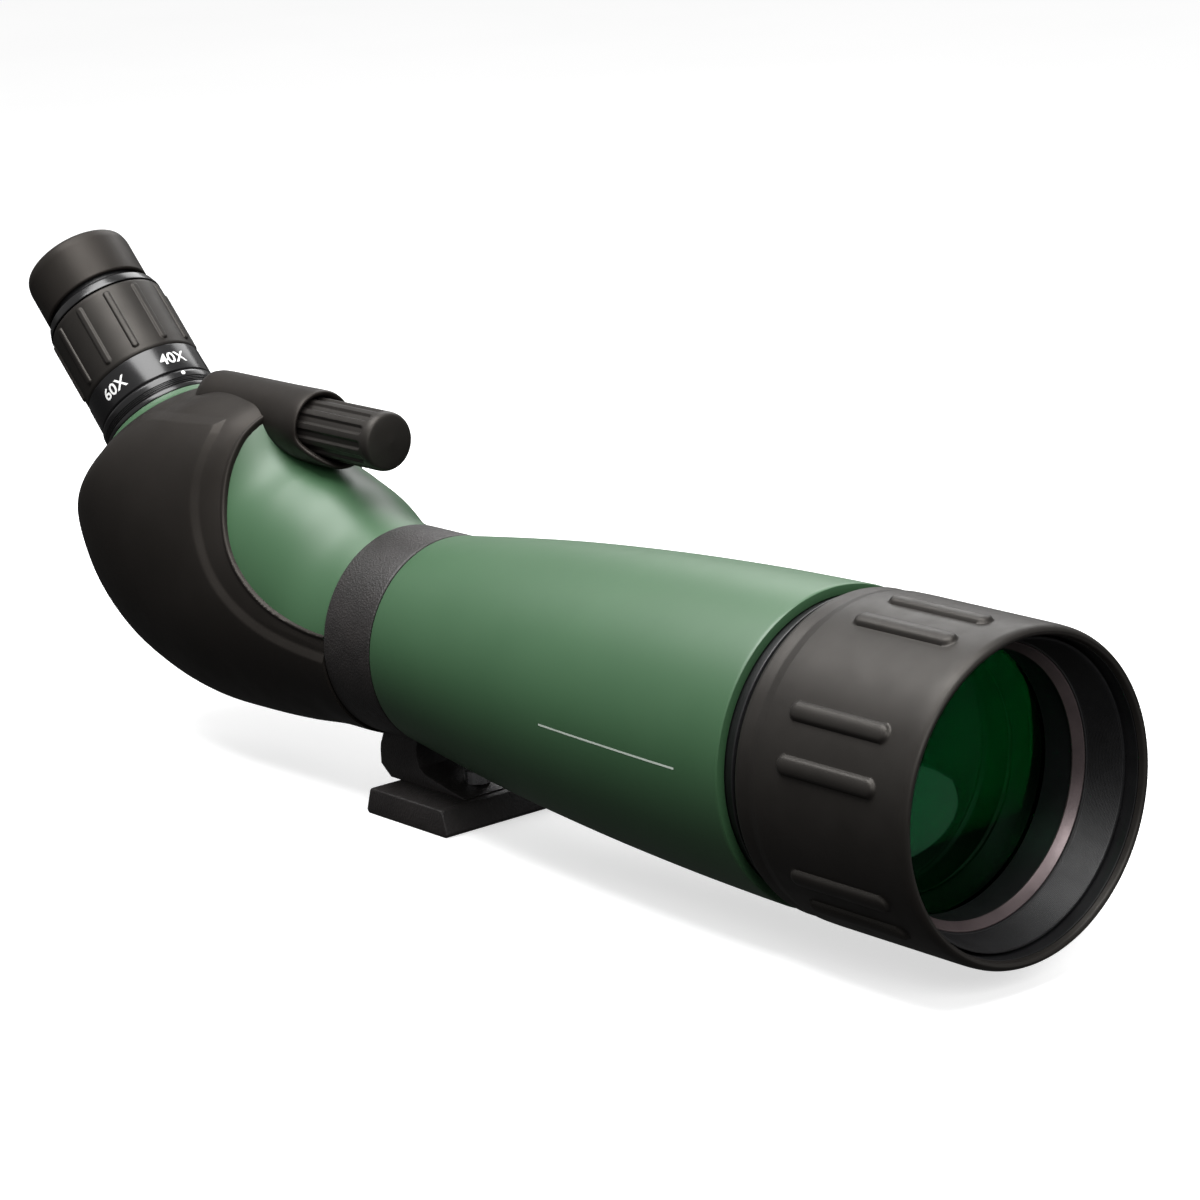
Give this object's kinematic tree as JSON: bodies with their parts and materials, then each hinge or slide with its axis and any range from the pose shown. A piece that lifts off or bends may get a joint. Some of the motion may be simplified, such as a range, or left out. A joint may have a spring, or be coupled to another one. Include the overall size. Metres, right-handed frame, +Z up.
{
  "type": "spotting scope",
  "caption": "Angled zoom spotting scope: tapered tube with sliding dewshield, rotating collar with tripod foot, top focus knob and tilted zoom eyepiece with twist-up eyecup.",
  "frame": {"origin": "centre of the tripod foot's bottom face", "axes": "+X along the optical axis towards the objective, +Y to the left, +Z up out of the foot"},
  "size_m": [0.5825, 0.123, 0.209],
  "materials": {
    "green_paint": "satin green paint over aluminium",
    "black_rubber": "matte rubber",
    "black_anodised": "black anodised",
    "black_cast": "fine-textured black paint",
    "bare_steel": "bright",
    "brass": "machined",
    "coated_glass": "green multi-coated",
    "clear_glass": "polished",
    "nylon": "matte"
  },
  "bodies": {
    "mount": {"mount_collar": "black_cast", "collar_liner": "nylon", "foot_plate": "black_cast", "tripod_bush": "brass", "foot_screw": "bare_steel"},
    "clamp": {"clamp_screw": "black_anodised", "clamp_pad": "brass"},
    "scope": {"body_sleeve": "black_anodised", "main_tube": "green_paint", "front_baffle": "black_anodised", "rear_baffle": "black_anodised", "lens_cell": "black_anodised", "objective_crown": "coated_glass", "objective_flint": "clear_glass", "retaining_ring": "black_anodised", "shield_friction_ring": "nylon", "prism_housing": "green_paint", "rear_armour": "black_rubber", "shaft_bush": "brass", "guide_rod_right": "bare_steel", "guide_rod_left": "bare_steel", "prism_frame": "black_cast", "entry_prism": "clear_glass", "roof_prism": "clear_glass", "prism_clip": "bare_steel", "eyepiece_flange": "black_anodised", "index_ring": "black_anodised", "eyepiece_barrel": "black_anodised", "field_stop": "black_anodised", "eye_lens": "coated_glass", "eye_lens_cell": "black_anodised"},
    "dewshield": {"dewshield_tube": "black_anodised", "dewshield_grip": "black_rubber"},
    "focus": {"focus_knob": "black_rubber", "focus_shaft": "bare_steel"},
    "carriage": {"focus_carriage": "black_anodised", "focusing_lens": "clear_glass"},
    "zoom": {"zoom_ring": "black_anodised", "zoom_grip": "black_rubber"},
    "zoom_front_group": {"zoom_cell_front": "black_anodised", "zoom_lens_front": "clear_glass"},
    "zoom_rear_group": {"zoom_cell_rear": "black_anodised", "zoom_lens_rear": "clear_glass"},
    "eyecup_body": {"eyecup_sleeve": "black_anodised", "eyecup": "black_rubber"}
  },
  "joints": [
    {"name": "collar_turn", "type": "hinge", "parent": "mount", "child": "scope", "pos_m": [-0.0169, 0, 0.069], "axis": [1, 0, 0], "range_deg": [-90, 90]},
    {"name": "clamp_turn", "type": "hinge", "parent": "mount", "child": "clamp", "pos_m": [-0.0169, 0.046, 0.069], "axis": [0, 1, 0], "range_deg": [-180, 180]},
    {"name": "dewshield_slide", "type": "slide", "parent": "scope", "child": "dewshield", "axis": [1, 0, 0], "range_m": [0, 0.034]},
    {"name": "focus_turn", "type": "hinge", "parent": "scope", "child": "focus", "pos_m": [-0.06, 0, 0.1446], "axis": [1, 0, 0], "range_deg": [-540, 540]},
    {"name": "carriage_slide", "type": "slide", "parent": "scope", "child": "carriage", "axis": [1, 0, 0], "range_m": [-0.0062, 0.0062]},
    {"name": "zoom_turn", "type": "hinge", "parent": "scope", "child": "zoom", "pos_m": [-0.1305, 0, 0.069], "axis": [-0.7071, 0, 0.7071], "range_deg": [-60, 60]},
    {"name": "zoom_front_slide", "type": "slide", "parent": "scope", "child": "zoom_front_group", "axis": [-0.7071, 0, 0.7071], "range_m": [-0.0107, 0.0107]},
    {"name": "zoom_rear_slide", "type": "slide", "parent": "scope", "child": "zoom_rear_group", "axis": [-0.7071, 0, 0.7071], "range_m": [-0.0086, 0.0086]},
    {"name": "eyecup_rise", "type": "slide", "parent": "scope", "child": "eyecup_body", "axis": [-0.7071, 0, 0.7071], "range_m": [0, 0.008]}
  ],
  "couplings": [
    {"joint": "carriage_slide", "follows": "focus_turn", "m_per_rad": 0.00063662},
    {"joint": "zoom_front_slide", "follows": "zoom_turn", "m_per_rad": 0.01},
    {"joint": "zoom_rear_slide", "follows": "zoom_turn", "m_per_rad": -0.008}
  ]
}
